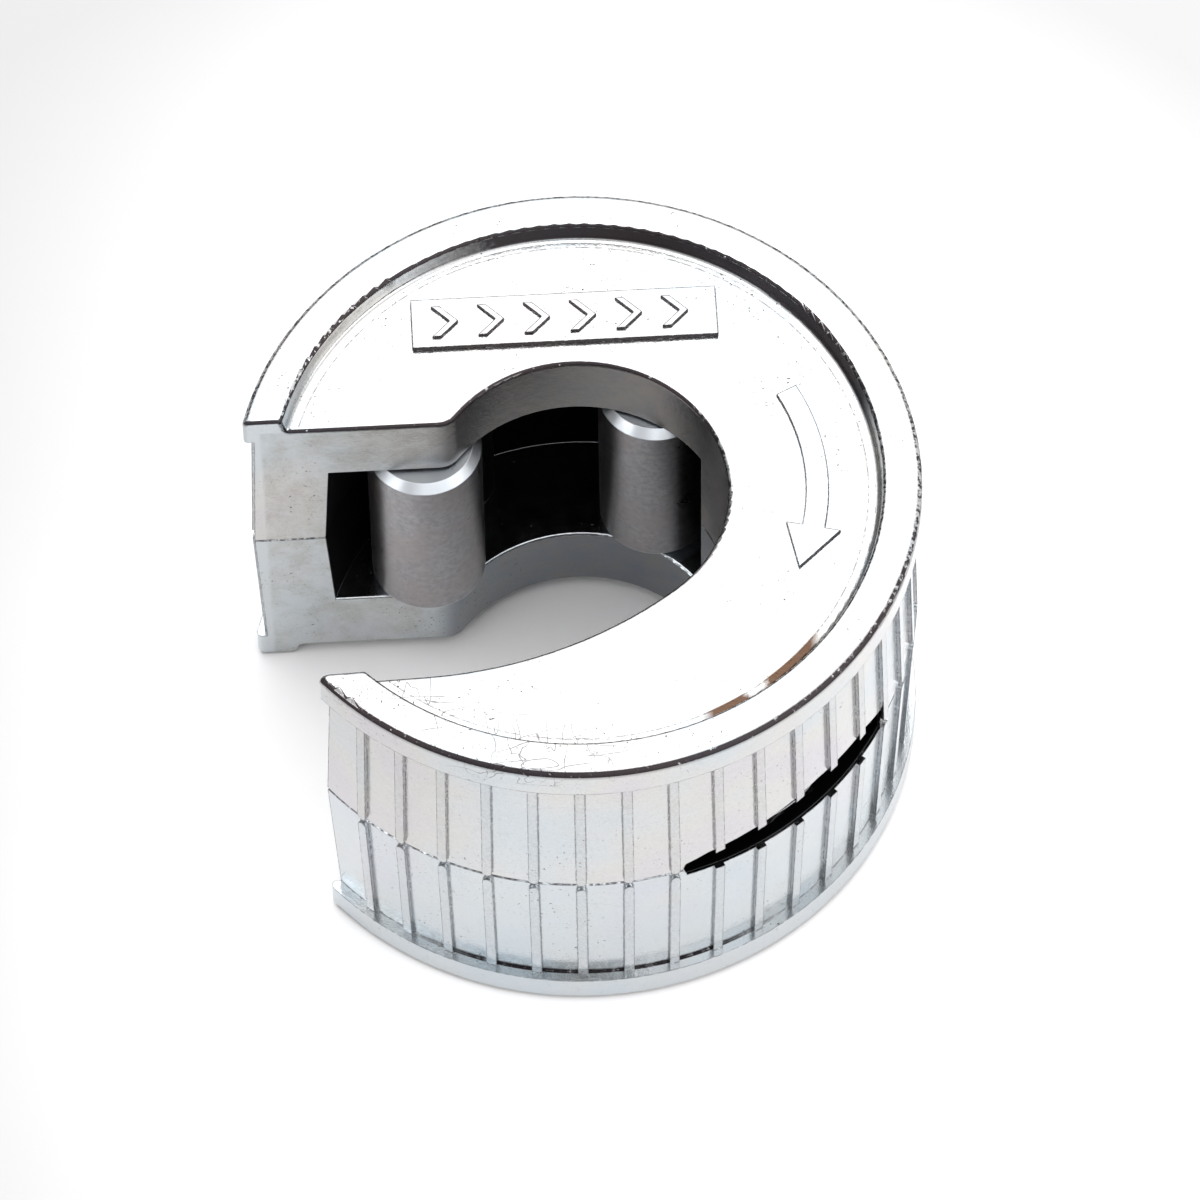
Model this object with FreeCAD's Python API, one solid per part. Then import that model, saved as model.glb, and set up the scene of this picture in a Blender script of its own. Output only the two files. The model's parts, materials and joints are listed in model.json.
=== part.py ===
import FreeCAD, Part
import math
import os

os.makedirs("parts", exist_ok=True)
V = FreeCAD.Vector
UP = V(0, 0, 1)

# One-hand pocket cutter for 15 mm copper pipe, in millimetres, +Z up.
# The origin is on the pipe axis, level with the bottom rim. The mouth opens to -X.
# The housing is two die-cast half shells that meet at SPLIT_Z.

# --- housing outline ---------------------------------------------------------
BODY_R = 20.0                    # flange radius
BODY_H = 25.8                    # overall height
SPLIT_Z = BODY_H / 2             # parting plane
FLANGE_H = 2.1                   # height of the flange band
FLANGE_Z = BODY_H - FLANGE_H
PANEL_R_FLANGE = 19.32           # side wall radius below the flange
PANEL_R_SPLIT = 19.68            # side wall radius at the parting plane
EDGE_R = 0.5                     # rounding of the outer top edge
RIM_R = 17.75                    # inner radius of the raised rim
RIM_FOOT_R = 17.5                # radius where the rim's inner wall meets the floor
RECESS = 1.12                    # depth of the upper floor below the rim
UNDER_RECESS = 0.8               # and of the floor on the underside
FLOOR_Z = BODY_H - RECESS
UNDER_FLOOR_Z = BODY_H - UNDER_RECESS  # before the half is mirrored
RIM_EDGE_R = 0.3
RIM_FOOT_FILLET = 0.35
SPLIT_CHAMFER = 0.12             # broken edge along the parting line

# --- grip ribs ---------------------------------------------------------------
RIB_PITCH = 8.0                  # degrees
RIB_FIRST = -132.7
RIB_COUNT = 38
RIB_PROUD = 0.24                 # how far a rib stands out of the wall
RIB_W = 0.6
RIB_GAP = 0.25                   # from the rounded end to the parting plane
RIB_ROOT = 1.5                   # how far a rib runs into the wall

# --- throat and mouth --------------------------------------------------------
THROAT_R = 8.73
LIP_Y = 4.94                     # flat end face of the upper lip
LIP_CORNER_R = 1.4
LOW_LIP_AZ = -53.2               # where the lower lip leaves the throat circle
LOW_LIP_R = 25.6                 # radius of the lower lip's curve
LOW_LIP_SLOPE = 1.8              # degrees, of its straight end
MOUTH_EDGE_R = 0.3              # rounding of the mouth's edge on floor and rim
PLATE_EDGE_R = 0.15              # rounding of its edge inside the chamber
SPLIT_EDGE_R = 0.1               # rounding of its edge on the parting plane
ON_LINE = 1e-4                   # tolerance when an edge is looked up by place

# --- roller chamber ----------------------------------------------------------
PLATE = 4.75                     # thickness of the end plates at the floor
PLATE_Z = FLOOR_Z - PLATE        # underside of the upper plate
CAV_R_SPLIT = 15.65              # chamber radius at the parting plane
CAV_R_ROOF = 15.3                # chamber radius at the plate
PILLAR_AZ = 31.8                 # where the solid pillar starts on the throat wall
PILLAR_BACK_AZ = 46.0            # and where it meets the outer wall

# --- guide rollers and their pins --------------------------------------------
ROLLER_R = 3.4
ROLLER_H = 13.6
ROLLER_CHAMFER = 0.5
ROLLER_PITCH_R = 11.2
ROLLERS = {"left": 141.5, "right": 63.3}
PIN_R = 1.25
PIN_H = 19.0
PIN_CHAMFER = 0.3
ROLLER_FIT = 0.07                # running clearance on the radius
SEAT_FIT = 0.02                  # clearance of a seated pin, screw or dowel

# --- feed carriage: blocks, axle and wheel -----------------------------------
FEED_AZ = -52.3                  # direction the wheel retracts in
FEED_TRAVEL = 1.9
WHEEL_R = 6.5
WHEEL_T = 1.2
WHEEL_BEVEL = 1.65               # radial length of the ground edge
WHEEL_EDGE_T = 0.06
WHEEL_AT = 12.4                  # axle distance from the pipe axis at rest
HUB_R = 2.7
HUB_T = 3.2
AXLE_R = 1.5
AXLE_H = 13.4
WASHER_R = 2.4
WASHER_T = 0.4
WHEEL_FIT = 0.05
BLOCK_FRONT = 10.0
BLOCK_L = 5.0
BLOCK_W = 5.6
BLOCK_CHAMFER = 0.35
SLIDE_FIT = 0.1
SLOT_HALF = 0.72                 # half height of the wheel's recess
SLOT_RELIEF = 0.5                # clearance round the wheel
WINDOW_FROM = 14.0               # where the recess opens into the wall's window
UPPER_WINDOW = [(-7.7, 0), (7.6, 0), (7.6, 1.4), (5.8, 2.1), (1.5, 2.25), (-3.4, 1.5),
                (-6.2, 1.1), (-7.5, 0.6)]
LOWER_WINDOW = [(-7.6, 0), (7.6, 0), (7.6, 0.68), (-7.4, 0.68)]
GUIDE_END = 17.2

# --- feed springs ------------------------------------------------------------
SPRING_WIRE = 0.4
SPRING_COIL_R = 1.5
SPRING_TURNS = 4.0
SPRING_STEPS = 16                # points along one turn of the helix
SPRING_SEAT = 0.5                # depth of the spring's seat in the block
SPRING_SEAT_R = 1.95
SPRING_POCKET_R = 2.0
SPRING_END = 18.7
SPRING_GAP = 0.03

# --- fasteners ---------------------------------------------------------------
SCREW_R = 1.25
SCREW_HOLE_R = 1.4
SCREW_HEAD_R = 2.2
SCREW_HEAD_H = 1.8
SCREW_SEAT_Z = 3.3
SCREW_TIP_Z = 17.8
SCREW_SOCKET_R = 1.15
SCREW_SOCKET_DEPTH = 1.1
COUNTERBORE_R = 2.4
BOSS_R = 2.3
SCREWS = [(14.6, 118.0), (14.5, 33.8), (14.5, -7.0), (14.5, -99.2)]
DOWEL_R = 1.0
DOWEL_H = 7.0
DOWELS = {"lip": (17.35, 155.8), "tip": (17.2, -120.2)}

# --- raised marks on the upper floor -----------------------------------------
PAD_X = 17.9
PAD_Y = 3.35
PAD_AT_X = -0.2
PAD_AT_Y = 11.83
PAD_H = 0.3
MARK_H = 0.18
CHEVRONS = 6
CHEVRON_PITCH = 2.7
CHEVRON_ARM = 1.05
CHEVRON_W = 0.5
ARROW_R = 13.9
ARROW_W = 1.3
ARROW_FROM = 26.0                # degrees
ARROW_TO = -26.0
ARROW_HEAD = 12.0
ARROW_HEAD_W = 3.2

OUTSIDE = BODY_R + 2.0           # safely clear of the body


def polar(radius, azimuth, z=0.0):
    a = math.radians(azimuth)
    return V(radius * math.cos(a), radius * math.sin(a), z)


def polygon(points):
    return Part.Face(Part.makePolygon(list(points) + [points[0]]))


def prism(face, z0, z1):
    """The flat face raised to a solid between two heights."""
    face = face.copy()
    face.translate(V(0, 0, z0))
    return face.extrude(V(0, 0, z1 - z0))


def post(radius, z0, z1, at=V(0, 0, 0)):
    return Part.makeCylinder(radius, z1 - z0, V(at.x, at.y, z0))


def rounded_wire(corners):
    """A closed wire through (point, radius) corners, each rounded by its radius."""
    edges = []
    ends = []
    for i, (point, radius) in enumerate(corners):
        before = (corners[i - 1][0] - point).normalize()
        after = (corners[(i + 1) % len(corners)][0] - point).normalize()
        if radius == 0:
            ends.append((point, point))
            continue
        half = before.getAngle(after) / 2
        reach = radius / math.tan(half)
        start = point + before * reach
        end = point + after * reach
        middle = point + (before + after).normalize() * (radius / math.sin(half) - radius)
        edges.append(Part.Arc(start, middle, end).toShape())
        ends.append((start, end))
    for i in range(len(corners)):
        start = ends[i][1]
        end = ends[(i + 1) % len(corners)][0]
        edges.append(Part.makeLine(start, end))
    return Part.Wire(Part.__sortEdges__(edges))


def turned(corners, at=V(0, 0, 0)):
    """A solid turned about the vertical through `at` from (r, z, rounding) corners."""
    wire = rounded_wire([(V(r, 0, z), rounding) for r, z, rounding in corners])
    solid = Part.Face(wire).revolve(V(0, 0, 0), UP, 360)
    solid.translate(at)
    return solid


def feed_box(r0, r1, width, z0, z1):
    """A box that lies along the feed direction."""
    box = Part.makeBox(r1 - r0, width, z1 - z0, V(r0, -width / 2, z0))
    box.rotate(V(0, 0, 0), UP, FEED_AZ)
    return box


def mirrored(shape):
    """The same shape on the other side of the parting plane."""
    return shape.mirror(V(0, 0, SPLIT_Z), UP)


def mouth_face():
    """Plan of the throat and the mouth that opens to -X."""
    reach = THROAT_R + LIP_CORNER_R
    corner_y = LIP_Y + LIP_CORNER_R
    corner = V(-math.sqrt(reach ** 2 - corner_y ** 2), corner_y, 0)
    lip_end = V(corner.x, LIP_Y, 0)
    throat_start = corner * (THROAT_R / reach)
    corner_mid = corner + ((lip_end + throat_start) * 0.5 - corner).normalize() * LIP_CORNER_R
    throat_end = polar(THROAT_R, LOW_LIP_AZ)
    curve_centre = polar(THROAT_R - LOW_LIP_R, LOW_LIP_AZ)
    flat_az = LOW_LIP_SLOPE - 90
    curve_mid = curve_centre + polar(LOW_LIP_R, (LOW_LIP_AZ + flat_az) / 2)
    curve_end = curve_centre + polar(LOW_LIP_R, flat_az)
    run = (curve_end.x + OUTSIDE) / math.cos(math.radians(LOW_LIP_SLOPE))
    tip = curve_end - polar(run, LOW_LIP_SLOPE)
    mouth_corner = V(-OUTSIDE, LIP_Y, 0)
    edges = [
        Part.makeLine(mouth_corner, lip_end),
        Part.Arc(lip_end, corner_mid, throat_start).toShape(),
        Part.Arc(throat_start, polar(THROAT_R, 45), throat_end).toShape(),
        Part.Arc(throat_end, curve_mid, curve_end).toShape(),
        Part.makeLine(curve_end, tip),
        Part.makeLine(tip, mouth_corner),
    ]
    return Part.Face(Part.Wire(edges))


def shell_blank(floor_z):
    """Upper half: flange, rim, recessed floor and drafted side wall."""
    return turned([
        (0, SPLIT_Z, 0),
        (PANEL_R_SPLIT - SPLIT_CHAMFER, SPLIT_Z, 0),
        (PANEL_R_SPLIT, SPLIT_Z + SPLIT_CHAMFER, 0),
        (PANEL_R_FLANGE, FLANGE_Z, 0),
        (BODY_R, FLANGE_Z, 0),
        (BODY_R, BODY_H, EDGE_R),
        (RIM_R, BODY_H, RIM_EDGE_R),
        (RIM_FOOT_R, floor_z, RIM_FOOT_FILLET),
        (0, floor_z, 0),
    ])


def rib(azimuth):
    """One grip rib, parallel to the drafted wall, with a rounded end near the parting plane."""
    top_r = PANEL_R_FLANGE + RIB_PROUD
    end_r = PANEL_R_SPLIT + RIB_PROUD
    end_z = SPLIT_Z + RIB_GAP + RIB_W / 2
    side = polygon([
        V(top_r - RIB_ROOT, 0, FLANGE_Z),
        V(top_r, 0, FLANGE_Z),
        V(end_r, 0, end_z - RIB_W / 2),
        V(end_r - RIB_ROOT, 0, end_z - RIB_W / 2),
    ])
    bar = side.extrude(V(0, RIB_W, 0))
    bar.translate(V(0, -RIB_W / 2, 0))
    plan = Part.makeBox(RIB_ROOT * 2, RIB_W, FLANGE_Z - end_z,
                        V(end_r - RIB_ROOT - 1, -RIB_W / 2, end_z))
    end = Part.makeCylinder(RIB_W / 2, RIB_ROOT * 2, V(end_r - RIB_ROOT - 1, 0, end_z), V(1, 0, 0))
    solid = bar.common(plan.fuse(end))
    solid.rotate(V(0, 0, 0), UP, azimuth)
    return solid


def chamber():
    """Roller chamber of the upper half, open to the throat and through the lip."""
    height = PLATE_Z - SPLIT_Z
    room = Part.makeCone(CAV_R_SPLIT, CAV_R_ROOF, height, V(0, 0, SPLIT_Z))
    edge = polar(THROAT_R, PILLAR_AZ)
    back = polar(CAV_R_SPLIT, PILLAR_BACK_AZ)
    plan = polygon([
        edge + (edge - back) * 0.5,
        back + (back - edge) * 0.5,
        V(0, OUTSIDE, 0),
        V(-OUTSIDE, OUTSIDE, 0),
        V(-OUTSIDE, LIP_Y - 2, 0),
        V(-THROAT_R / 2, LIP_Y - 2, 0),
    ])
    room = room.common(prism(plan, SPLIT_Z, PLATE_Z))
    radius, azimuth = SCREWS[0]
    return room.cut(post(BOSS_R, SPLIT_Z, PLATE_Z, polar(radius, azimuth)))


def feed_recess(window):
    """Room for the carriage, the wheel and one spring; the window is (across, up) points."""
    guide_w = BLOCK_W + 2 * SLIDE_FIT
    guide_front = BLOCK_FRONT - SLIDE_FIT / 2
    hub_room = SPLIT_Z + HUB_T / 2 + 2 * SLIDE_FIT
    spring_z = SPLIT_Z + spring_height()
    tools = [
        feed_box(guide_front, GUIDE_END, guide_w, SPLIT_Z, PLATE_Z),
        feed_box(THROAT_R - 2, guide_front, guide_w, SPLIT_Z, hub_room),
        feed_box(GUIDE_END - 1, SPRING_END, 2 * SPRING_POCKET_R, SPLIT_Z, spring_z),
        Part.makeCylinder(SPRING_POCKET_R, SPRING_END - GUIDE_END + 1,
                          polar(GUIDE_END - 1, FEED_AZ, spring_z), polar(1, FEED_AZ)),
    ]
    slot_top = SPLIT_Z + SLOT_HALF
    for travel in (0, FEED_TRAVEL):
        centre = polar(WHEEL_AT + travel, FEED_AZ)
        tools.append(post(WHEEL_R + SLOT_RELIEF, SPLIT_Z, slot_top, centre))
    tools.append(feed_box(WHEEL_AT, WHEEL_AT + FEED_TRAVEL,
                          2 * (WHEEL_R + SLOT_RELIEF), SPLIT_Z, slot_top))
    opening = polygon([V(WINDOW_FROM, across, SPLIT_Z + up) for across, up in window])
    opening = opening.extrude(V(OUTSIDE - WINDOW_FROM, 0, 0))
    opening.rotate(V(0, 0, 0), UP, FEED_AZ)
    tools.append(opening)
    return tools[0].multiFuse(tools[1:])


def block_base():
    """Height of a block's inner face above the parting plane."""
    return HUB_T / 2 + WHEEL_FIT + WASHER_T


def block_top():
    return PLATE_Z - SPLIT_Z - SLIDE_FIT


def spring_height():
    return (block_base() + block_top()) / 2


def shared_holes():
    """Pin and dowel holes of the upper half."""
    holes = []
    for azimuth in ROLLERS.values():
        at = polar(ROLLER_PITCH_R, azimuth)
        top = SPLIT_Z + PIN_H / 2 + SLIDE_FIT
        holes.append(post(PIN_R + SEAT_FIT, SPLIT_Z, top, at))
    for radius, azimuth in DOWELS.values():
        top = SPLIT_Z + DOWEL_H / 2 + SLIDE_FIT
        holes.append(post(DOWEL_R + SEAT_FIT, SPLIT_Z, top, polar(radius, azimuth)))
    return holes


def mouth_edges(body, low, high):
    """Edges of the body that follow the mouth's outline between two heights."""
    outline = mouth_face().OuterWire
    found = []
    for edge in body.Edges:
        middle = edge.valueAt((edge.FirstParameter + edge.LastParameter) / 2)
        points = [middle] + [vertex.Point for vertex in edge.Vertexes]
        level = all(low - ON_LINE <= p.z <= high + ON_LINE for p in points)
        if level and all(Part.Vertex(p.x, p.y, 0).distToShape(outline)[0] < ON_LINE
                         for p in points):
            found.append(edge)
    return found


def half_shell(floor_z, window):
    """A casting, as the upper one, without its screw holes and marks."""
    body = shell_blank(floor_z)
    ribs = [rib(RIB_FIRST + i * RIB_PITCH) for i in range(RIB_COUNT)]
    body = body.multiFuse(ribs)
    body = body.cut(prism(mouth_face(), 0, BODY_H + 1))
    body = body.cut([chamber(), feed_recess(window)] + shared_holes()).removeSplitter()
    for low, high, radius in ((floor_z, BODY_H, MOUTH_EDGE_R),
                              (PLATE_Z, PLATE_Z, PLATE_EDGE_R),
                              (SPLIT_Z, SPLIT_Z, SPLIT_EDGE_R)):
        body = body.makeFillet(radius, mouth_edges(body, low, high))
    return body


def pad_marks():
    """A blank raised plate that carries a row of plain chevrons."""
    pad = Part.makeBox(PAD_X, PAD_Y, PAD_H * 2,
                       V(PAD_AT_X - PAD_X / 2, PAD_AT_Y - PAD_Y / 2, FLOOR_Z - PAD_H))
    marks = [pad]
    top = FLOOR_Z + PAD_H
    for i in range(CHEVRONS):
        x = PAD_AT_X + (i - (CHEVRONS - 1) / 2) * CHEVRON_PITCH
        nose = V(x + CHEVRON_ARM / 2, PAD_AT_Y, 0)
        outline = [
            V(nose.x, nose.y, 0),
            V(nose.x - CHEVRON_ARM, nose.y + CHEVRON_ARM, 0),
            V(nose.x - CHEVRON_ARM - CHEVRON_W, nose.y + CHEVRON_ARM, 0),
            V(nose.x - CHEVRON_W, nose.y, 0),
            V(nose.x - CHEVRON_ARM - CHEVRON_W, nose.y - CHEVRON_ARM, 0),
            V(nose.x - CHEVRON_ARM, nose.y - CHEVRON_ARM, 0),
        ]
        marks.append(prism(polygon(outline), top - MARK_H, top + MARK_H))
    return marks


def turn_arrow():
    """A raised curved arrow that shows which way the tool is turned."""
    inner = ARROW_R - ARROW_W / 2
    outer = ARROW_R + ARROW_W / 2
    neck = ARROW_TO + ARROW_HEAD
    middle = (ARROW_FROM + neck) / 2
    edges = [
        Part.Arc(polar(inner, neck), polar(inner, middle), polar(inner, ARROW_FROM)).toShape(),
        Part.makeLine(polar(inner, ARROW_FROM), polar(outer, ARROW_FROM)),
        Part.Arc(polar(outer, ARROW_FROM), polar(outer, middle), polar(outer, neck)).toShape(),
        Part.makeLine(polar(outer, neck), polar(ARROW_R + ARROW_HEAD_W / 2, neck)),
        Part.makeLine(polar(ARROW_R + ARROW_HEAD_W / 2, neck), polar(ARROW_R, ARROW_TO)),
        Part.makeLine(polar(ARROW_R, ARROW_TO), polar(ARROW_R - ARROW_HEAD_W / 2, neck)),
        Part.makeLine(polar(ARROW_R - ARROW_HEAD_W / 2, neck), polar(inner, neck)),
    ]
    face = Part.Face(Part.Wire(Part.__sortEdges__(edges)))
    return prism(face, FLOOR_Z - MARK_H, FLOOR_Z + MARK_H)


def upper_shell():
    half = half_shell(FLOOR_Z, UPPER_WINDOW)
    threads = []
    for radius, azimuth in SCREWS:
        top = SCREW_TIP_Z + SLIDE_FIT
        threads.append(post(SCREW_R + SEAT_FIT, SPLIT_Z, top, polar(radius, azimuth)))
    return half.cut(threads).multiFuse(pad_marks() + [turn_arrow()]).removeSplitter()


def lower_shell():
    half = half_shell(UNDER_FLOOR_Z, LOWER_WINDOW)
    holes = []
    for radius, azimuth in SCREWS:
        at = polar(radius, azimuth)
        holes.append(post(SCREW_HOLE_R, SCREW_SEAT_Z, SPLIT_Z, at))
        holes.append(post(COUNTERBORE_R, 0, SCREW_SEAT_Z, at))
    return mirrored(half).cut(holes)


def ring(outer_r, inner_r, z0, z1, at, chamfer=0.0):
    """A bushed cylinder with its outer ends chamfered."""
    solid = post(outer_r, z0, z1, at)
    if chamfer:
        rims = [e for e in solid.Edges if e.Closed and abs(e.Length - 2 * math.pi * outer_r) < 1e-6]
        solid = solid.makeChamfer(chamfer, rims)
    return solid.cut(post(inner_r, z0 - 1, z1 + 1, at)) if inner_r else solid


def cutter_wheel():
    at = polar(WHEEL_AT, FEED_AZ, SPLIT_Z)
    bore = AXLE_R + WHEEL_FIT
    return turned([
        (bore, -HUB_T / 2, 0),
        (HUB_R, -HUB_T / 2, 0.2),
        (HUB_R, -WHEEL_T / 2, 0),
        (WHEEL_R - WHEEL_BEVEL, -WHEEL_T / 2, 0),
        (WHEEL_R, -WHEEL_EDGE_T / 2, 0),
        (WHEEL_R, WHEEL_EDGE_T / 2, 0),
        (WHEEL_R - WHEEL_BEVEL, WHEEL_T / 2, 0),
        (HUB_R, WHEEL_T / 2, 0),
        (HUB_R, HUB_T / 2, 0.2),
        (bore, HUB_T / 2, 0),
    ], at)


def axle_block():
    """Upper guide block with the axle hole and the spring's seat."""
    z0 = SPLIT_Z + block_base()
    z1 = SPLIT_Z + block_top()
    block = Part.makeBox(BLOCK_L, BLOCK_W, z1 - z0, V(BLOCK_FRONT, -BLOCK_W / 2, z0))
    upright = [e for e in block.Edges if abs(e.tangentAt(e.FirstParameter).z) > 0.99]
    block = block.makeChamfer(BLOCK_CHAMFER, upright)
    block.rotate(V(0, 0, 0), UP, FEED_AZ)
    seat_r = BLOCK_FRONT + BLOCK_L - SPRING_SEAT
    seat = Part.makeCylinder(SPRING_SEAT_R, 2 * SPRING_SEAT,
                             polar(seat_r, FEED_AZ, SPLIT_Z + spring_height()), polar(1, FEED_AZ))
    hole = post(AXLE_R + SEAT_FIT, z0 - 1, z1 + 1, polar(WHEEL_AT, FEED_AZ))
    return block.cut([seat, hole])


def feed_spring(height):
    """Coil spring between a block's seat and the outer wall, its axis at the given height."""
    start = BLOCK_FRONT + BLOCK_L - SPRING_SEAT + SPRING_GAP + SPRING_WIRE / 2
    end = SPRING_END - SPRING_GAP - SPRING_WIRE / 2
    steps = int(SPRING_TURNS * SPRING_STEPS)
    points = []
    for i in range(steps + 1):
        turn = 2 * math.pi * i / SPRING_STEPS
        points.append(V(start + (end - start) * i / steps,
                        SPRING_COIL_R * math.cos(turn),
                        height + SPRING_COIL_R * math.sin(turn)))
    path = Part.BSplineCurve()
    path.interpolate(points)
    tangent = path.tangent(path.FirstParameter)[0]
    section = Part.Wire(Part.makeCircle(SPRING_WIRE / 2, points[0], tangent))
    coil = Part.Wire(path.toShape()).makePipeShell([section], True, True)
    coil.rotate(V(0, 0, 0), UP, FEED_AZ)
    return coil


def clamp_screw(site):
    """Socket-head screw that enters from the underside."""
    radius, azimuth = site
    at = polar(radius, azimuth)
    head_z = SCREW_SEAT_Z - SCREW_HEAD_H
    screw = turned([
        (0, head_z, 0),
        (SCREW_HEAD_R, head_z, 0.3),
        (SCREW_HEAD_R, SCREW_SEAT_Z, 0),
        (SCREW_R, SCREW_SEAT_Z, 0),
        (SCREW_R, SCREW_TIP_Z - SCREW_R / 2, 0),
        (SCREW_R / 2, SCREW_TIP_Z, 0),
        (0, SCREW_TIP_Z, 0),
    ], at)
    hexagon = polygon([at + polar(SCREW_SOCKET_R, 60 * i) for i in range(6)])
    return screw.cut(prism(hexagon, head_z - 1, head_z + SCREW_SOCKET_DEPTH))


def build():
    parts = {"upper_shell": upper_shell(), "lower_shell": lower_shell()}
    for side, azimuth in ROLLERS.items():
        at = polar(ROLLER_PITCH_R, azimuth)
        parts[side + "_roller"] = ring(ROLLER_R, PIN_R + ROLLER_FIT, SPLIT_Z - ROLLER_H / 2,
                                       SPLIT_Z + ROLLER_H / 2, at, ROLLER_CHAMFER)
        parts[side + "_roller_pin"] = ring(PIN_R, 0, SPLIT_Z - PIN_H / 2,
                                           SPLIT_Z + PIN_H / 2, at, PIN_CHAMFER)
    wheel_at = polar(WHEEL_AT, FEED_AZ)
    parts["cutter_wheel"] = cutter_wheel()
    parts["wheel_axle"] = ring(AXLE_R, 0, SPLIT_Z - AXLE_H / 2, SPLIT_Z + AXLE_H / 2,
                               wheel_at, PIN_CHAMFER)
    washer_z = SPLIT_Z + HUB_T / 2 + WHEEL_FIT
    washer = ring(WASHER_R, AXLE_R + SEAT_FIT, washer_z, washer_z + WASHER_T, wheel_at)
    for name, shape in (("axle_block", axle_block()), ("wheel_washer", washer)):
        parts["upper_" + name] = shape
        parts["lower_" + name] = mirrored(shape)
    parts["upper_spring"] = feed_spring(SPLIT_Z + spring_height())
    parts["lower_spring"] = feed_spring(SPLIT_Z - spring_height())
    for number, site in enumerate(SCREWS, 1):
        parts["clamp_screw_%d" % number] = clamp_screw(site)
    for name, (radius, azimuth) in DOWELS.items():
        parts[name + "_dowel"] = ring(DOWEL_R, 0, SPLIT_Z - DOWEL_H / 2, SPLIT_Z + DOWEL_H / 2,
                                      polar(radius, azimuth), PIN_CHAMFER)
    return parts


for node, shape in build().items():
    solid = shape.Solids[0] if len(shape.Solids) == 1 else shape
    print(node, solid.ShapeType, len(shape.Solids), solid.isValid(), round(solid.Volume, 2))
    solid.exportStep("parts/%s.step" % node)
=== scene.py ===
import bmesh
import bpy
import json
import math
from functools import cached_property, reduce
from mathutils import Matrix, Vector


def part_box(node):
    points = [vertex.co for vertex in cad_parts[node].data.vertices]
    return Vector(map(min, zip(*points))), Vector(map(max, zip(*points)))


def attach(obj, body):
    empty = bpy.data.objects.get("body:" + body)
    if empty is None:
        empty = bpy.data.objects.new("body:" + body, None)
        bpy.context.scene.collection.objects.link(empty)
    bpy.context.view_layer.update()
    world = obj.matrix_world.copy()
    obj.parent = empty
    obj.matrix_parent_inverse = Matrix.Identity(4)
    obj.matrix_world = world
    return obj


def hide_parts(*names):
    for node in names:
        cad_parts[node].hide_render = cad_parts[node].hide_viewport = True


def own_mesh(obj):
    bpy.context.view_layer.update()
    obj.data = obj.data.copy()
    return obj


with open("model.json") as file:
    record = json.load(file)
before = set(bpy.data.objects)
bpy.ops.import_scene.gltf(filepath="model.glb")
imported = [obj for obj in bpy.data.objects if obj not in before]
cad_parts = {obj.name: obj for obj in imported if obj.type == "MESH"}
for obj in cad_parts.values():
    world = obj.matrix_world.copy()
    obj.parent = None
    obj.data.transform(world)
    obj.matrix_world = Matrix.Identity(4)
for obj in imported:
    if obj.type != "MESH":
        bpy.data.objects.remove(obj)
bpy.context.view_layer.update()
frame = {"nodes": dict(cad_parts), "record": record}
MM = 0.001

# --- places taken from the frame ---------------------------------------------
BODY_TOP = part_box("upper_shell")[1]
BODY_H = BODY_TOP.z
BODY_R = BODY_TOP.x
SPLIT_Z = BODY_H / 2
FEED_JOINT = next(j for j in frame["record"]["behaviour"]["joints"]
                  if j["name"] == "carriage_feed")
FEED = Vector(FEED_JOINT["axis"]).normalized()
UP = Vector((0, 0, 1))

# --- sizes of the castings and rollers ----------------------------------------
THROAT_R = 8.73 * MM
LIP_Y = 4.94 * MM                # the upper lip's flat face
CHAMBER_R = 15.8 * MM
PANEL_R = 19.68 * MM             # side wall at the parting line
PANEL_R_FLANGE = 19.32 * MM      # side wall at the flange
FLANGE_H = 2.1 * MM
FLOOR_Z = BODY_H - 1.12 * MM     # recessed top
RIM_FOOT_R = 17.5 * MM
PLATE_HIGH = FLOOR_Z - 4.75 * MM
PLATE_LOW = BODY_H - PLATE_HIGH
ROLLER_HALF = 6.8 * MM

# --- camera ------------------------------------------------------------------
CAMERA_DISTANCE = 29.2 * BODY_R
CAMERA_ELEVATION = 58.35         # degrees above the horizon
CAMERA_AZIMUTH = -2.2
CAMERA_ROLL = -0.95
CAMERA_LENS = 304.6              # on a 36 mm sensor
CAMERA_TARGET = Vector((0.04295 * BODY_R, -0.41366 * BODY_R, BODY_H))
CAMERA_CLIP = (0.05, 10)

# --- studio light -------------------------------------------------------------
FLOOR_SIZE = 6.0
FLOOR_DROP = 0.02 * MM           # below the rim the tool rests on
# painted light on the paper round the tool and a painted shadow to its left
PAPER_NEAR_PAINTED_LIGHT = (0.94, 0.935, 0.935)
PAPER_FAR = (0.545, 0.541, 0.541)
PAPER_LEFT_PAINTED_SHADOW = (0.485, 0.478, 0.477)
PAPER_FIBRE = (0.5, 0.5, 0.5)
PAPER_LIGHT_FADE = (23 * MM, 60 * MM)          # distances over which the painted light round the tool fades to the far tone
PAPER_SHADOW_FADE = (-10 * MM, -50 * MM)   # x over which it turns to the left's painted shadow tone
TENT_DARK = 0.32                 # radiance of the dark band
TENT_DARK_TOP = 0.45             # sine of the elevation where the band ends
TENT_WALL = 1.0
TENT_RIGHT = 1.15
TENT_ROOF = 1.05                 # added overhead, toward the back
TENT_FRONT = 0.9                 # added in front, above the dark band
TENT_ZENITH = 1.5                # added straight above, to light the throat
TENT_HOOD = 0.8                  # taken away where the camera's hood stands
TENT_COLOUR = (0.985, 0.99, 1.0, 1)
SOFTBOXES = {                    # place and size in metres, power in watts
    "right_softbox": ((0.75, -0.25, 0.35), (0.6, 0.5), 1.2),
    "left_softbox": ((-0.55, -0.35, 0.30), (0.3, 0.3), 0.6),
}

# --- springs -----------------------------------------------------------------
SPRING_TURNS = 3.0               # open turns between the closed ends
SPRING_END_TURNS = 0.8           # closed turns at each end
SPRING_STEPS = 40                # points a turn
SPRING_SIDES = 12
SPRING_WIRE_SHARE = 24           # the spring's length over its wire's radius

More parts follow.
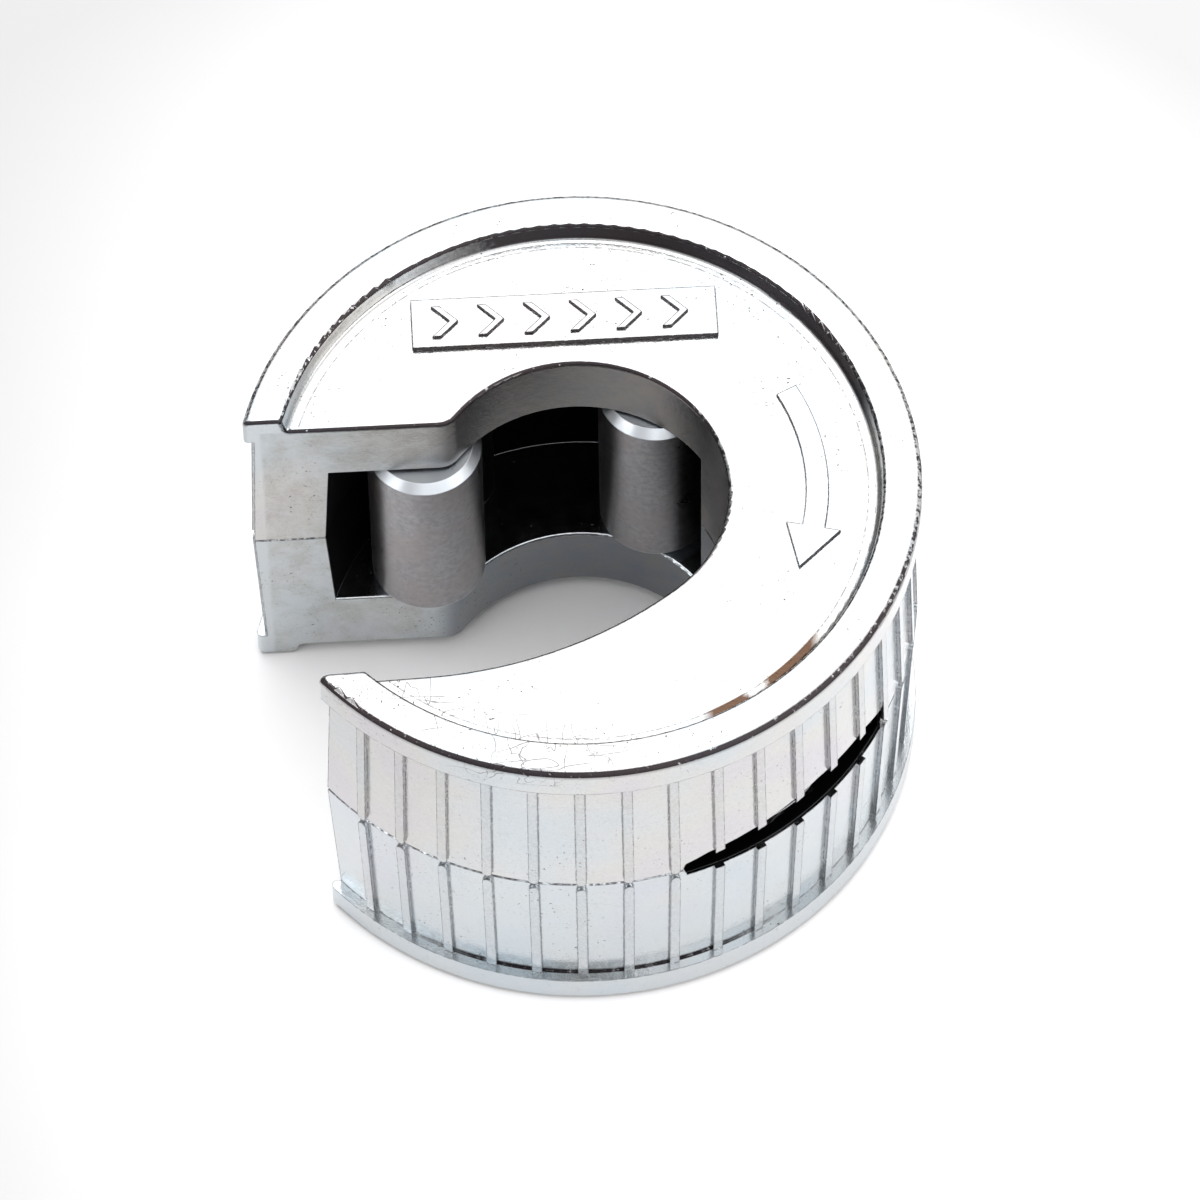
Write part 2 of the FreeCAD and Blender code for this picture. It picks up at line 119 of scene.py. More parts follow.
# --- colours of the plating ----------------------------------------------------
PLATE_TINTS = [
    (0.34, (0.545, 0.585, 0.61)),
    (0.46, (0.585, 0.595, 0.60)),
    (0.56, (0.600, 0.592, 0.575)),
    (0.68, (0.585, 0.565, 0.59)),
]
GRAIN = (0.38, 0.37, 0.36)
COOL = (0.53, 0.59, 0.63)
RIB_FACE = (0.24, 0.25, 0.27)
# painted shade on the ribs' side faces
RIB_SIDE_SHADE = (0.15, 0.15, 0.17)
# painted shade on the mouth's and throat's walls, for the lower and the upper casting
MOUTH_SHADE_LOWER = (0.085, 0.10, 0.13)
MOUTH_SHADE_UPPER = (0.09, 0.08, 0.08)
MURK = (0.30, 0.27, 0.22)
FLECK = (0.18, 0.17, 0.155)
PIT = (0.10, 0.09, 0.09)
SCRATCH = (0.12, 0.11, 0.11)
# painted dark reflection and shade along edges and in corners, and the dark parting line
EDGE_SHADE_AND_SEAM = (0.020, 0.012, 0.015)
BROWN = (0.085, 0.038, 0.016)
# painted shade: black for the unlit chamber and feed slot
CHAMBER_SHADE_BLACK = (0.003, 0.003, 0.004)


# --- shader helpers -------------------------------------------------------------

class Graph:
    """Adds and joins the nodes of one shader tree."""

    def __init__(self, tree):
        self.tree = tree

    def add(self, kind, **values):
        node = self.tree.nodes.new(kind)
        for key, value in values.items():
            if hasattr(node, key):
                setattr(node, key, value)
            else:
                node.inputs[key.replace("_", " ")].default_value = value
        return node

    def link(self, source, target):
        self.tree.links.new(source, target)

    def span(self, source, low, high, to_low, to_high, **look):
        """The source's low..high range moved to to_low..to_high."""
        node = self.add("ShaderNodeMapRange", **look)
        node.inputs["From Min"].default_value = low
        node.inputs["From Max"].default_value = high
        node.inputs["To Min"].default_value = to_low
        node.inputs["To Max"].default_value = to_high
        self.link(source, node.inputs["Value"])
        return node.outputs["Result"]

    def maths(self, operation, *values):
        node = self.add("ShaderNodeMath", operation=operation)
        for socket, value in zip(node.inputs, values):
            if isinstance(value, (int, float)):
                socket.default_value = value
            else:
                self.link(value, socket)
        return node.outputs["Value"]

    def times(self, *factors):
        return reduce(lambda a, b: self.maths("MULTIPLY", a, b), factors)

    def most(self, *values):
        return reduce(lambda a, b: self.maths("MAXIMUM", a, b), values)


class Nodes(Graph):
    """The graph of one material, with the places and normals its masks are made from."""

    def __init__(self, name):
        self.material = bpy.data.materials.new(name)
        self.material.use_nodes = True
        super().__init__(self.material.node_tree)
        self.shader = self.tree.nodes["Principled BSDF"]
        self.place = self.add("ShaderNodeTexCoord").outputs["Object"]

    def parts(self, vector):
        """The x, y and z of a vector."""
        node = self.add("ShaderNodeSeparateXYZ")
        self.link(vector, node.inputs["Vector"])
        return node.outputs["X"], node.outputs["Y"], node.outputs["Z"]

    @cached_property
    def at(self):
        """The x, y and z of a point in the frame, in metres."""
        return self.parts(self.place)

    @cached_property
    def radius(self):
        x, y, _ = self.at
        return self.maths("SQRT", self.maths("ADD", self.times(x, x), self.times(y, y)))

    @cached_property
    def level(self):
        """Height above or below the parting plane."""
        return self.maths("ABSOLUTE", self.maths("SUBTRACT", self.at[2], SPLIT_Z))

    @cached_property
    def flat(self):
        """The real surface's normal."""
        return self.add("ShaderNodeNewGeometry").outputs["True Normal"]

    @cached_property
    def facing(self):
        """The x, y and z of the real surface's normal."""
        return self.parts(self.flat)

    @cached_property
    def slope(self):
        """0 on an upright wall, 1 on level ground."""
        return self.maths("ABSOLUTE", self.facing[2])

    @cached_property
    def outward(self):
        """How far the surface faces away from the body's axis, 0 to 1."""
        x, y, _ = self.at
        face_x, face_y, _ = self.facing
        along = self.maths("ADD", self.times(x, face_x), self.times(y, face_y))
        return self.maths("DIVIDE", along, self.radius)

    def noise(self, size, detail=3.0, roughness=0.55, stretch=(1, 1, 1), offset=0.0):
        """Noise whose grain is `size` metres; stretch makes it longer along an axis."""
        mapping = self.add("ShaderNodeMapping")
        mapping.inputs["Scale"].default_value = [1 / s for s in stretch]
        mapping.inputs["Location"].default_value = (offset, offset, offset)
        self.link(self.place, mapping.inputs["Vector"])
        noise = self.add("ShaderNodeTexNoise", Scale=1 / size, Detail=detail,
                         Roughness=roughness)
        self.link(mapping.outputs["Vector"], noise.inputs["Vector"])
        return noise.outputs["Fac"]

    def band(self, value, low, high, soft):
        """1 between low and high, 0 outside, with soft edges."""
        return self.times(self.span(value, low - soft, low, 0.0, 1.0),
                          self.span(value, high, high + soft, 1.0, 0.0))

    def ramp(self, source, stops):
        """Colour ramp from (position, colour) stops."""
        node = self.add("ShaderNodeValToRGB")
        elements = node.color_ramp.elements
        while len(elements) < len(stops):
            elements.new(0.5)
        for element, (position, colour) in zip(elements, stops):
            element.position = position
            element.color = (*colour, 1)
        self.link(source, node.inputs["Fac"])
        return node.outputs["Color"]

    def mix(self, factor, first, second):
        """A blend of two colours; a colour is a tuple or another node's output."""
        node = self.add("ShaderNodeMix", data_type="RGBA")
        colours = [s for s in node.inputs if s.type == "RGBA"]
        for socket, value in zip([node.inputs[0]] + colours, (factor, first, second)):
            if isinstance(value, (int, float)):
                socket.default_value = value
            elif isinstance(value, tuple):
                socket.default_value = (*value, 1)
            else:
                self.link(value, socket)
        return next(s for s in node.outputs if s.type == "RGBA")

    def mix_vector(self, factor, first, second):
        node = self.add("ShaderNodeMix", data_type="VECTOR")
        vectors = [s for s in node.inputs if s.type == "VECTOR" and s.name in "AB"]
        for socket, value in zip([node.inputs[0]] + vectors, (factor, first, second)):
            self.link(value, socket)
        return next(s for s in node.outputs if s.type == "VECTOR")

    def bump(self, height, depth, normal):
        """Bump of `depth` metres from a 0..1 height."""
        node = self.add("ShaderNodeBump", Strength=1.0, Distance=depth)
        self.link(height, node.inputs["Height"])
        self.link(normal, node.inputs["Normal"])
        return node.outputs["Normal"]

    def bevel(self, radius, samples):
        """The normal with every edge rounded by `radius`."""
        node = self.add("ShaderNodeBevel", samples=samples)
        node.inputs["Radius"].default_value = radius
        return node.outputs["Normal"]

    def rounded(self):
        return self.bevel(0.05 * MM, 6)

    def edges(self, reach):
        """1 near a sharp edge, 0 on flat ground, by how far a bevelled normal turns."""
        match = self.add("ShaderNodeVectorMath", operation="DOT_PRODUCT")
        self.link(self.bevel(reach, 8), match.inputs[0])
        self.link(self.flat, match.inputs[1])
        return self.span(match.outputs["Value"], 0.99, 0.93, 0.0, 1.0)

    def finish(self, colour, roughness=None, normal=None, metallic=1.0):
        self.shader.inputs["Metallic"].default_value = metallic
        wanted = (("Base Color", colour), ("Roughness", roughness), ("Normal", normal))
        for name, value in wanted:
            if value is not None:
                self.link(value, self.shader.inputs[name])
        return self.material


# --- painted shade, tone, dirt and wear on the casting ---------------------------

def chamber_shade_mask(n):
    """Painted shade: black for the unlit interior of the chamber and of the feed slot, which is
    also made rough.

    The slot's part has no limit in azimuth. The real opening ends at about -80 degrees,
    so the lower lip's solid wall beyond it is blackened too, in a band the slot's height.
    """
    _, y, z = n.at
    room = n.times(n.band(n.radius, THROAT_R + 0.2 * MM, CHAMBER_R, 0.06 * MM),
                   n.band(z, PLATE_LOW + 0.03 * MM, PLATE_HIGH - 0.03 * MM, 0.02 * MM),
                   n.span(y, LIP_Y + 0.05 * MM, LIP_Y + 0.12 * MM, 0.0, 1.0))
    slot = n.times(n.band(n.radius, THROAT_R + 0.2 * MM, PANEL_R - 0.25 * MM, 0.1 * MM),
                   n.band(z, SPLIT_Z - 0.75 * MM, SPLIT_Z + 2.3 * MM, 0.05 * MM),
                   n.span(y, 0.0, -1.0 * MM, 0.0, 1.0))
    return n.most(room, slot)


def cool_lower_half(n):
    """A cooler plating tone on the lower casting."""
    low = n.span(n.at[2], SPLIT_Z + 0.02 * MM, SPLIT_Z - 0.02 * MM, 0.0, 0.55)
    return n.times(low, n.span(n.noise(4 * MM, 2.0, offset=4.4), 0.3, 0.6, 0.5, 1.0))


def rounding_lines(n, broken):
    """Painted dark reflection: broken dark lines on the rounded outer edges, fuller toward the
    front.
    """
    outside = n.span(n.level, SPLIT_Z - 1.50 * MM, SPLIT_Z - 1.45 * MM, 0.0, 1.0)
    rim_wall = n.band(n.at[2], FLOOR_Z + 0.03 * MM, BODY_H - 0.33 * MM, 0.02 * MM)
    rounding = n.times(n.band(n.slope, 0.36, 0.90, 0.05), outside,
                       n.span(rim_wall, 0.0, 1.0, 1.0, 0.15))
    to_front = n.span(n.facing[1], -0.1, -0.5, 0.50, 0.68)
    gaps = n.maths("SUBTRACT", to_front, broken)
    return n.times(rounding, n.span(gaps, -0.04, 0.05, 0.0, 0.95))


def mark_outlines(n, broken, edges):
    """Painted shade: dark edges and flanks of the raised plate, the chevrons and the arrow."""
    z = n.at[2]
    floor = n.times(n.band(z, FLOOR_Z - 0.03 * MM, FLOOR_Z + 0.6 * MM, 0.01 * MM),
                    n.span(n.radius, RIM_FOOT_R - 0.5 * MM, RIM_FOOT_R - 0.6 * MM, 0.0, 1.0))
    line = n.times(edges, floor, n.span(broken, 0.66, 0.52, 0.45, 1.0))
    flank = n.times(n.span(n.slope, 0.6, 0.4, 0.0, 0.9), floor,
                    n.span(z, FLOOR_Z + 0.01 * MM, FLOOR_Z + 0.03 * MM, 0.0, 1.0))
    return n.most(line, flank)


def rib_outlines(n, broken, edges):
    """Painted shade: thin dark lines along both edges of every rib."""
    wall = n.times(n.span(n.level, SPLIT_Z - 2.05 * MM, SPLIT_Z - 2.0 * MM, 1.0, 0.0),
                   n.span(n.radius, PANEL_R_FLANGE - 0.1 * MM, PANEL_R_FLANGE, 0.0, 1.0))
    return n.times(edges, wall, n.span(broken, 0.62, 0.48, 0.10, 0.62))


def floor_line(n, broken):
    """A fine line on the recessed floor, just inside the rim."""
    return n.times(n.band(n.radius, RIM_FOOT_R - 0.66 * MM, RIM_FOOT_R - 0.60 * MM, 0.03 * MM),
                   n.band(n.at[2], FLOOR_Z - 0.01 * MM, FLOOR_Z + 0.01 * MM, 0.01 * MM),
                   n.span(broken, 0.60, 0.45, 0.0, 0.6))


def parting_line(n, broken):
    return n.times(n.band(n.level, 0.0, 0.10 * MM, 0.03 * MM),
                   n.span(broken, 0.60, 0.46, 0.1, 0.85))


def rim_shadow(n, broken):
    """The rim's inner wall at the back, dark except at its left end."""
    x, y, z = n.at
    ragged = n.maths("ADD", x, n.times(broken, 4.0 * MM))
    return n.times(n.band(z, FLOOR_Z + 0.12 * MM, BODY_H - 0.25 * MM, 0.08 * MM),
                   n.band(n.radius, RIM_FOOT_R - 0.1 * MM, RIM_FOOT_R + 0.4 * MM, 0.05 * MM),
                   n.span(y, 2.0 * MM, 5.0 * MM, 0.0, 1.0),
                   n.span(ragged, -9.0 * MM, -2.0 * MM, 0.05, 0.94))


def base_corner_shade(n, broken):
    """Painted shade in the near corner between the side wall and the lower flange."""
    _, y, z = n.at
    corner = n.band(n.radius, PANEL_R_FLANGE - 0.1 * MM, PANEL_R_FLANGE + 0.13 * MM, 0.03 * MM)
    return n.times(n.band(z, FLANGE_H - 0.05 * MM, FLANGE_H + 0.14 * MM, 0.02 * MM), corner,
                   n.span(y, -16.0 * MM, -18.0 * MM, 0.0, 1.0),
                   n.span(broken, 0.64, 0.52, 0.45, 0.95))


def edge_shade_and_seams(n):
    """Painted dark reflection and shade along edges and in corners, with the dark parting line
    and a fine line on the recessed floor.
    """
    broken = n.noise(0.30 * MM, 4.0, roughness=0.7, offset=5.5)
    edges = n.edges(0.13 * MM)
    return n.most(rounding_lines(n, broken), mark_outlines(n, broken, edges),
                  rib_outlines(n, broken, edges), floor_line(n, broken),
                  parting_line(n, broken), rim_shadow(n, broken), base_corner_shade(n, broken))


def rib_masks(n):
    """Masks of the ribs' side faces, which get painted shade, and of their outer faces."""
    wall = n.span(n.level, 0.0, SPLIT_Z - FLANGE_H, PANEL_R, PANEL_R_FLANGE)
    between = n.span(n.level, SPLIT_Z - FLANGE_H, SPLIT_Z - 2.15 * MM, 0.0, 1.0)
    upright = n.times(between, n.span(n.slope, 0.5, 0.3, 0.0, 1.0))
    proud = n.maths("SUBTRACT", n.radius, wall)
    shaded_sides = n.times(n.span(n.outward, 0.85, 0.6, 0.0, 1.0), upright,
                    n.span(proud, -0.06 * MM, 0.0, 0.0, 1.0))
    faces = n.times(upright, n.span(proud, 0.16 * MM, 0.2 * MM, 0.0, 1.0))
    return shaded_sides, faces


def mouth_walls(n):
    """The duller walls of the mouth (0.1) and, deeper in, of the throat (1), with painted shade
    that grows darker deeper into the throat.
    """
    x, _, z = n.at
    upright = n.span(n.slope, 0.5, 0.2, 0.0, 1.0)
    inner = n.span(n.outward, 0.75, 0.5, 0.0, 1.0)
    near = n.span(n.radius, PANEL_R_FLANGE - 0.3 * MM, PANEL_R_FLANGE - 0.5 * MM, 0.0, 1.0)
    deep = n.times(n.span(n.radius, 10.0 * MM, 8.9 * MM, 0.10, 1.0),
                   n.span(x, -6.0 * MM, 6.0 * MM, 0.82, 1.0))
    return n.times(upright, n.most(inner, near), deep,
                   n.span(z, FLOOR_Z - 0.2 * MM, FLOOR_Z, 1.0, 0.0), near)


def stain(n):
    """Brown dirt left in the near corner under the rim."""
    x, y, z = n.at
    patch = n.noise(2.4 * MM, 5.0, offset=7.3)
    return n.times(n.band(n.radius, RIM_FOOT_R - 0.65 * MM, RIM_FOOT_R + 0.30 * MM, 0.1 * MM),
                   n.band(z, FLOOR_Z - 0.1 * MM, FLOOR_Z + 0.80 * MM, 0.15 * MM),
                   n.band(x, 7.0 * MM, 12.8 * MM, 0.8 * MM),
                   n.span(y, -5.0 * MM, -6.5 * MM, 0.0, 1.0),
                   n.span(patch, 0.34, 0.46, 0.0, 0.95))


def scratches(n):
    """Hairline scratches, as the thin middle lines of two stretched noises."""
    lines = []
    for stretch, offset in (((3.0, 0.6, 1.0), 6.1), ((0.6, 2.5, 1.0), 8.7)):
        tone = n.noise(2.6 * MM, 2.0, stretch=stretch, offset=offset)
        away = n.maths("ABSOLUTE", n.maths("SUBTRACT", tone, 0.5))
        lines.append(n.span(away, 0.0, 0.005, 1.0, 0.0))
    return n.most(*lines)


def near_lip(n):
    """1 on the top by the lower lip, where the tool is handled most."""
    x, y, z = n.at
    toward = n.maths("ADD", x, n.times(y, 1.2))
    return n.times(n.span(toward, -12 * MM, -24 * MM, 0.0, 1.0),
                   n.span(z, FLOOR_Z - 0.2 * MM, FLOOR_Z, 0.12, 1.0))


# --- materials -------------------------------------------------------------------

def plated_casting():
    """Zinc-plated die casting: bright, tinted, speckled and pitted, with painted shade in the
    chamber, in the mouth, on the ribs' side faces and along edges.
    """
    n = Nodes("plated_casting")
    grain = n.noise(0.11 * MM, 2.0, roughness=0.7)
    colour = n.ramp(n.noise(8 * MM, 2.0), PLATE_TINTS)
    colour = n.mix(n.span(grain, 0.38, 0.62, 0.0, 0.22), colour, GRAIN)
    colour = n.mix(cool_lower_half(n), colour, COOL)

    shaded_sides, faces = rib_masks(n)
    speckle = n.noise(0.16 * MM, 3.0, roughness=0.75, offset=3.3)
    colour = n.mix(n.times(faces, n.span(speckle, 0.42, 0.60, 0.24, 0.0)), colour, RIB_FACE)
    # painted shade on the ribs' side faces
    colour = n.mix(n.times(shaded_sides, n.span(speckle, 0.62, 0.40, 0.10, 0.50)), colour, RIB_SIDE_SHADE)

    # painted shade on the mouth's walls, darker deeper into the throat; these walls are also
    # rougher
    dull_and_shaded = mouth_walls(n)
    half = n.span(n.at[2], SPLIT_Z - 0.1 * MM, SPLIT_Z + 0.1 * MM, 0.0, 1.0)
    shade = n.ramp(half, [(0.0, MOUTH_SHADE_LOWER), (1.0, MOUTH_SHADE_UPPER)])
    colour = n.mix(n.span(dull_and_shaded, 0.0, 1.0, 0.0, 0.80), colour, shade)

    cloud = n.noise(1.6 * MM, 5.0, roughness=0.65, offset=12.3)
    murky = n.times(n.span(dull_and_shaded, 0.0, 0.08, 0.0, 1.0), n.span(cloud, 0.40, 0.66, 0.0, 0.38))
    colour = n.mix(murky, colour, MURK)
    fleck = n.noise(0.16 * MM, 3.0, roughness=0.7, offset=14.1)
    fleck = n.times(n.span(fleck, 0.57, 0.66, 0.0, 0.50), n.span(cloud, 0.44, 0.56, 0.25, 1.0),
                    n.span(dull_and_shaded, 0.0, 0.08, 0.45, 1.0))
    colour = n.mix(fleck, colour, FLECK)

    lip = near_lip(n)
    blotch = n.maths("ADD", n.noise(5 * MM, 3.0, offset=2.2), n.times(lip, 0.12))
    pits = n.times(n.span(n.noise(0.19 * MM, 1.0, offset=0.31), 0.72, 0.75, 0.0, 1.0),
                   n.span(blotch, 0.50, 0.62, 0.10, 1.0))
    colour = n.mix(pits, colour, PIT)
    wear = n.span(n.noise(6 * MM, 2.0, offset=9.1), 0.46, 0.56, 0.0, 1.0)
    hairlines = n.times(scratches(n), wear, lip, 0.9)
    colour = n.mix(hairlines, colour, SCRATCH)

    # painted dark reflection and shade along edges and in corners, with the dark parting line
    edges = edge_shade_and_seams(n)
    # painted shade: black in the chamber and the feed slot
    inside = chamber_shade_mask(n)
    colour = n.mix(edges, colour, EDGE_SHADE_AND_SEAM)
    colour = n.mix(stain(n), colour, BROWN)
    colour = n.mix(inside, colour, CHAMBER_SHADE_BLACK)

    satin = n.span(n.noise(1.1 * MM, 4.0, offset=0.7), 0.3, 0.7, 0.13, 0.21)
    roughness = n.most(satin, n.times(inside, 0.9), n.times(edges, 0.45),
                       n.times(n.maths("CEIL", dull_and_shaded), 0.26))
    relief = n.maths("ADD", n.noise(0.12 * MM, 2.0, offset=1.7),
                     n.times(n.noise(0.6 * MM, 1.0, offset=0.9), 1.5))
    relief = n.maths("SUBTRACT", relief, n.times(n.most(pits, hairlines), 2.0))
    smooth = n.add("ShaderNodeNewGeometry").outputs["Normal"]
    normal = n.mix_vector(inside, n.rounded(), smooth)
    normal = n.bump(n.times(relief, n.maths("SUBTRACT", 1.0, inside)), 0.008 * MM, normal)
    return n.finish(colour, roughness, normal)


def turned_steel(name, colour, rough, grain):
    """Plain steel with a mottled satin surface; `grain` in mm."""
    n = Nodes(name)
    dark = tuple(c * 0.84 for c in colour)
    warm = (colour[0] * 0.94, colour[1] * 0.87, colour[2] * 0.85)
    speck = tuple(c * 0.35 for c in colour)
    tone = n.ramp(n.noise(grain * MM, 5.0), [(0.35, dark), (0.65, colour)])
    tone = n.mix(n.span(n.noise(3.0 * MM, 2.0, offset=3.1), 0.42, 0.72, 0.0, 0.6), tone, warm)
    tone = n.mix(n.span(n.noise(0.14 * MM, 1.0, offset=1.2), 0.70, 0.76, 0.0, 0.6), tone, speck)
    satin = n.noise(0.8 * MM, 3.0, offset=0.2)
    roughness = n.span(satin, 0.3, 0.7, rough - 0.04, rough + 0.06)
    normal = n.bump(n.noise(0.10 * MM, 3.0, offset=0.4), 0.003 * MM, n.rounded())
    return n.finish(tone, roughness, normal)


def roller_steel():
    """Satin turned steel with a painted highlight on the chamfers at both ends."""
    n = Nodes("roller_satin")
    tone = n.ramp(n.noise(0.35 * MM, 5.0), [
        (0.35, (0.245, 0.242, 0.252)),
        (0.65, (0.325, 0.318, 0.325)),
    ])
    warm = n.span(n.noise(3.0 * MM, 2.0, offset=3.1), 0.42, 0.72, 0.0, 0.7)
    specks = n.span(n.noise(0.14 * MM, 1.0, offset=1.2), 0.70, 0.76, 0.0, 0.6)
    # painted highlight: brighter chamfers at both ends
    chamfer_highlight = n.span(n.level, ROLLER_HALF - 0.56 * MM, ROLLER_HALF - 0.50 * MM, 0.0, 1.0)
    tone = n.mix(warm, tone, (0.31, 0.275, 0.27))
    tone = n.mix(specks, tone, (0.14, 0.13, 0.13))
    tone = n.mix(chamfer_highlight, tone, (0.52, 0.545, 0.575))
    roughness = n.span(n.noise(0.8 * MM, 3.0, offset=0.2), 0.3, 0.7, 0.27, 0.36)
    normal = n.bump(n.noise(0.25 * MM, 2.0, offset=0.4), 0.0012 * MM, n.rounded())
    return n.finish(tone, roughness, normal)


FINISH = {
    "cast_zinc": plated_casting(),
    "roller_steel": roller_steel(),
    "pin_steel": turned_steel("ground_pin", (0.62, 0.62, 0.63), 0.20, 0.3),
    "tool_steel": turned_steel("hardened_wheel", (0.48, 0.48, 0.50), 0.20, 0.4),
    "block_steel": turned_steel("sintered_block", (0.34, 0.34, 0.35), 0.45, 0.3),
    "spring_steel": turned_steel("spring_wire", (0.48, 0.48, 0.50), 0.28, 0.3),
    "screw_steel": turned_steel("black_screw", (0.10, 0.10, 0.105), 0.38, 0.3),
    "washer_brass": turned_steel("brass_washer", (0.75, 0.58, 0.30), 0.28, 0.4),
}
for part in frame["record"]["subparts"]:
    mesh = frame["nodes"][part["node"]].data
    mesh.materials.clear()
    mesh.materials.append(FINISH[part["material_slot"]])


# --- feed springs with closed ends -------------------------------------------

def coil_rings(start, end, wire, coil_r, height):
    """Rings of points along a coil from start to end, closed at both ends."""
    across = Vector((-FEED.y, FEED.x, 0))
    turns = SPRING_TURNS + 2 * SPRING_END_TURNS
    closed = SPRING_END_TURNS / turns
    first = start + wire
    last = end - wire
    closed_run = 2 * wire * SPRING_END_TURNS
    open_run = last - first - 2 * closed_run
    rings = []
    steps = int(turns * SPRING_STEPS)
    for i in range(steps + 1):
        t = i / steps
        if t < closed:
            along = first + closed_run * t / closed
        elif t > 1 - closed:
            along = last - closed_run * (1 - t) / closed
        else:
            along = first + closed_run + open_run * (t - closed) / (1 - 2 * closed)
        angle = 2 * math.pi * turns * t
        radial = across * math.cos(angle) + UP * math.sin(angle)
        ring = []
        for k in range(SPRING_SIDES):
            turn = 2 * math.pi * k / SPRING_SIDES
            ring.append(UP * height + FEED * (along + wire * math.sin(turn))
                        + radial * (coil_r + wire * math.cos(turn)))
        rings.append(ring)
    return rings


def tube_mesh(name, rings):
    """A smooth closed tube through rings of points."""
    mesh = bpy.data.meshes.new(name)
    made = bmesh.new()
    rings = [[made.verts.new(p) for p in ring] for ring in rings]
    for a, b in zip(rings, rings[1:]):
        for k in range(SPRING_SIDES):
            nxt = (k + 1) % SPRING_SIDES
            made.faces.new((a[k], a[nxt], b[nxt], b[k]))
    made.faces.new(rings[0])
    made.faces.new(rings[-1])
    bmesh.ops.recalc_face_normals(made, faces=made.faces)
    made.to_mesh(mesh)
    made.free()
    for face in mesh.polygons:
        face.use_smooth = True
    return mesh


def coil_spring(name, node):
    """A wire coil with closed ends, in the place of the plain CAD helix."""
    low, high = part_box(node)
    height = (low.z + high.z) / 2
    reach = [v.co.dot(FEED) for v in frame["nodes"][node].data.vertices]
    start, end = min(reach), max(reach)
    length = end - start
    wire = length / SPRING_WIRE_SHARE
    coil_r = (high.z - low.z) / 2 - wire
    mesh = tube_mesh(name, coil_rings(start, end, wire, coil_r, height))
    mesh.materials.append(FINISH["spring_steel"])
    piece = bpy.data.objects.new(name, mesh)
    bpy.context.scene.collection.objects.link(piece)
    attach(piece, "housing")
    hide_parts(node)
    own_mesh(piece)


coil_spring("upper_coil_spring", "upper_spring")
coil_spring("lower_coil_spring", "lower_spring")


# --- studio ------------------------------------------------------------------

def studio_floor():
    """Pale paper with painted light that brightens it round the tool against its contact
    shadow, and a painted shadow that darkens it to the left.
    """
    bpy.ops.mesh.primitive_plane_add(size=FLOOR_SIZE, location=(0, 0, -FLOOR_DROP))
    floor = bpy.context.object
    floor.name = "studio_floor"
    n = Nodes("studio_floor")
    paper = n.mix(n.span(n.radius, *PAPER_LIGHT_FADE, 0.0, 1.0), PAPER_NEAR_PAINTED_LIGHT, PAPER_FAR)
    paper = n.mix(n.span(n.at[0], *PAPER_SHADOW_FADE, 0.0, 1.0), paper, PAPER_LEFT_PAINTED_SHADOW)
    fibre = n.span(n.noise(4 * MM, 2.0), 0.4, 0.6, 0.0, 0.012)
    n.finish(n.mix(fibre, paper, PAPER_FIBRE), metallic=0.0)
    n.shader.inputs["Roughness"].default_value = 0.9
    n.shader.inputs["Specular IOR Level"].default_value = 0.0
    floor.data.materials.append(n.material)


def softbox(name, place, size, power, aim=(0, 0, 0.01)):
    """A rectangular softbox that faces the object."""
    data = bpy.data.lights.new(name, "AREA")
    data.shape = "RECTANGLE"
    data.size, data.size_y = size
    data.energy = power
    lamp = bpy.data.objects.new(name, data)
    lamp.location = place
    lamp.rotation_mode = "QUATERNION"
    lamp.rotation_quaternion = (Vector(aim) - Vector(place)).to_track_quat("-Z", "Y")
    bpy.context.scene.collection.objects.link(lamp)


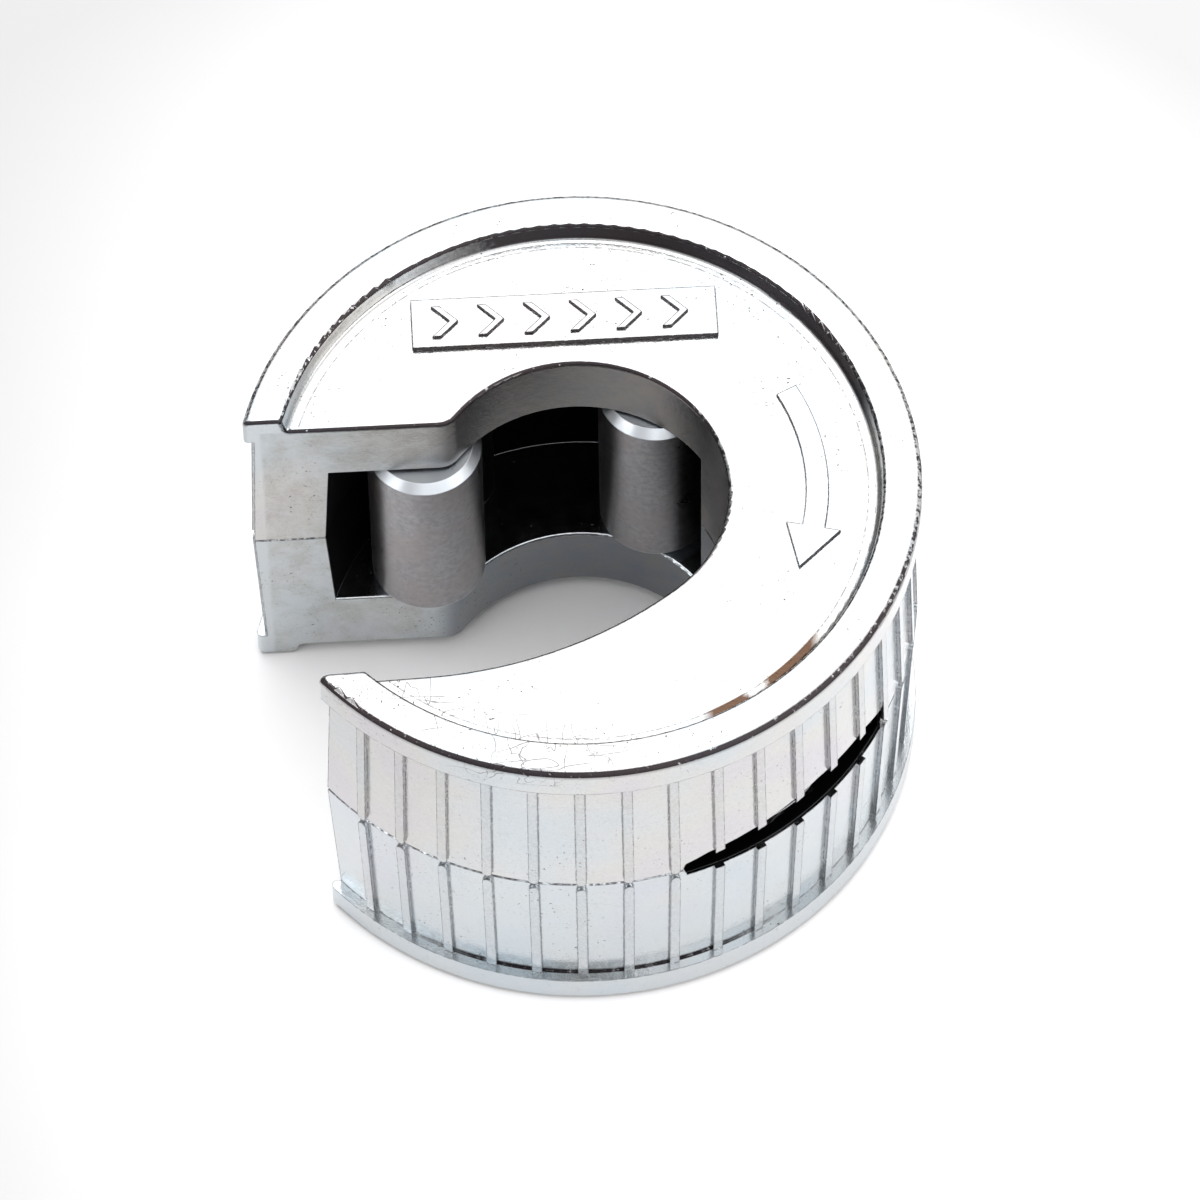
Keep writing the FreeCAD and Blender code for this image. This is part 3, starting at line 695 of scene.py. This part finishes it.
def light_tent():
    """A white tent: bright above, dark near the horizon in front and to the left."""
    world = bpy.data.worlds.new("light_tent")
    world.use_nodes = True
    g = Graph(world.node_tree)
    background = g.tree.nodes["Background"]
    sky = g.add("ShaderNodeTexCoord").outputs["Generated"]

    def lobe(direction, low, high, to_low, to_high):
        """A soft step on the cosine between the sky's direction and the given one."""
        node = g.add("ShaderNodeVectorMath", operation="DOT_PRODUCT")
        node.inputs[1].default_value = Vector(direction).normalized()
        g.link(sky, node.inputs[0])
        return g.span(node.outputs["Value"], low, high, to_low, to_high,
                      interpolation_type="SMOOTHSTEP")

    side = lobe((1, -0.15, 0), 0.15, 0.75, 0.0, 1.0)
    wall = lobe((0, 0, 1), TENT_DARK_TOP - 0.12, TENT_DARK_TOP + 0.06, TENT_DARK, TENT_WALL)
    wall = g.maths("ADD", wall, g.times(side, g.maths("SUBTRACT", TENT_RIGHT, wall)))
    roof = lobe((0.1, 0.62, 0.85), 0.62, 0.93, 0.0, TENT_ROOF)
    front = lobe((0.30, -0.72, 0.62), 0.72, 0.93, 0.0, TENT_FRONT)
    zenith = lobe((-0.15, 0.10, 1.0), 0.86, 0.97, 0.0, TENT_ZENITH)
    hood = lobe((-0.02, -0.53, 0.85), 0.978, 0.992, 0.0, 1.0)
    level = g.maths("ADD", g.maths("ADD", wall, roof), g.maths("ADD", front, zenith))
    level = g.times(level, g.maths("SUBTRACT", 1.0, g.times(hood, TENT_HOOD)))
    g.link(level, background.inputs["Strength"])
    background.inputs["Color"].default_value = TENT_COLOUR
    bpy.context.scene.world = world


def studio():
    studio_floor()
    light_tent()
    for name, (place, size, power) in SOFTBOXES.items():
        softbox(name, place, size, power)
    bpy.context.scene.view_settings.view_transform = "Standard"


def photo_camera():
    """Camera at the photograph's viewing angle."""
    a, e = math.radians(CAMERA_AZIMUTH), math.radians(CAMERA_ELEVATION)
    back = Vector((math.sin(a) * math.cos(e), -math.cos(a) * math.cos(e), math.sin(e)))
    right = Vector((math.cos(a), math.sin(a), 0))
    up = back.cross(right)
    roll = math.radians(CAMERA_ROLL)
    x_axis = right * math.cos(roll) + up * math.sin(roll)
    y_axis = up * math.cos(roll) - right * math.sin(roll)
    data = bpy.data.cameras.new("camera")
    data.lens = CAMERA_LENS
    data.clip_start, data.clip_end = CAMERA_CLIP
    camera = bpy.data.objects.new("camera", data)
    turn = Matrix((x_axis, y_axis, back)).transposed().to_4x4()
    camera.matrix_world = Matrix.Translation(CAMERA_TARGET + back * CAMERA_DISTANCE) @ turn
    bpy.context.scene.collection.objects.link(camera)
    bpy.context.scene.camera = camera


studio()
photo_camera()
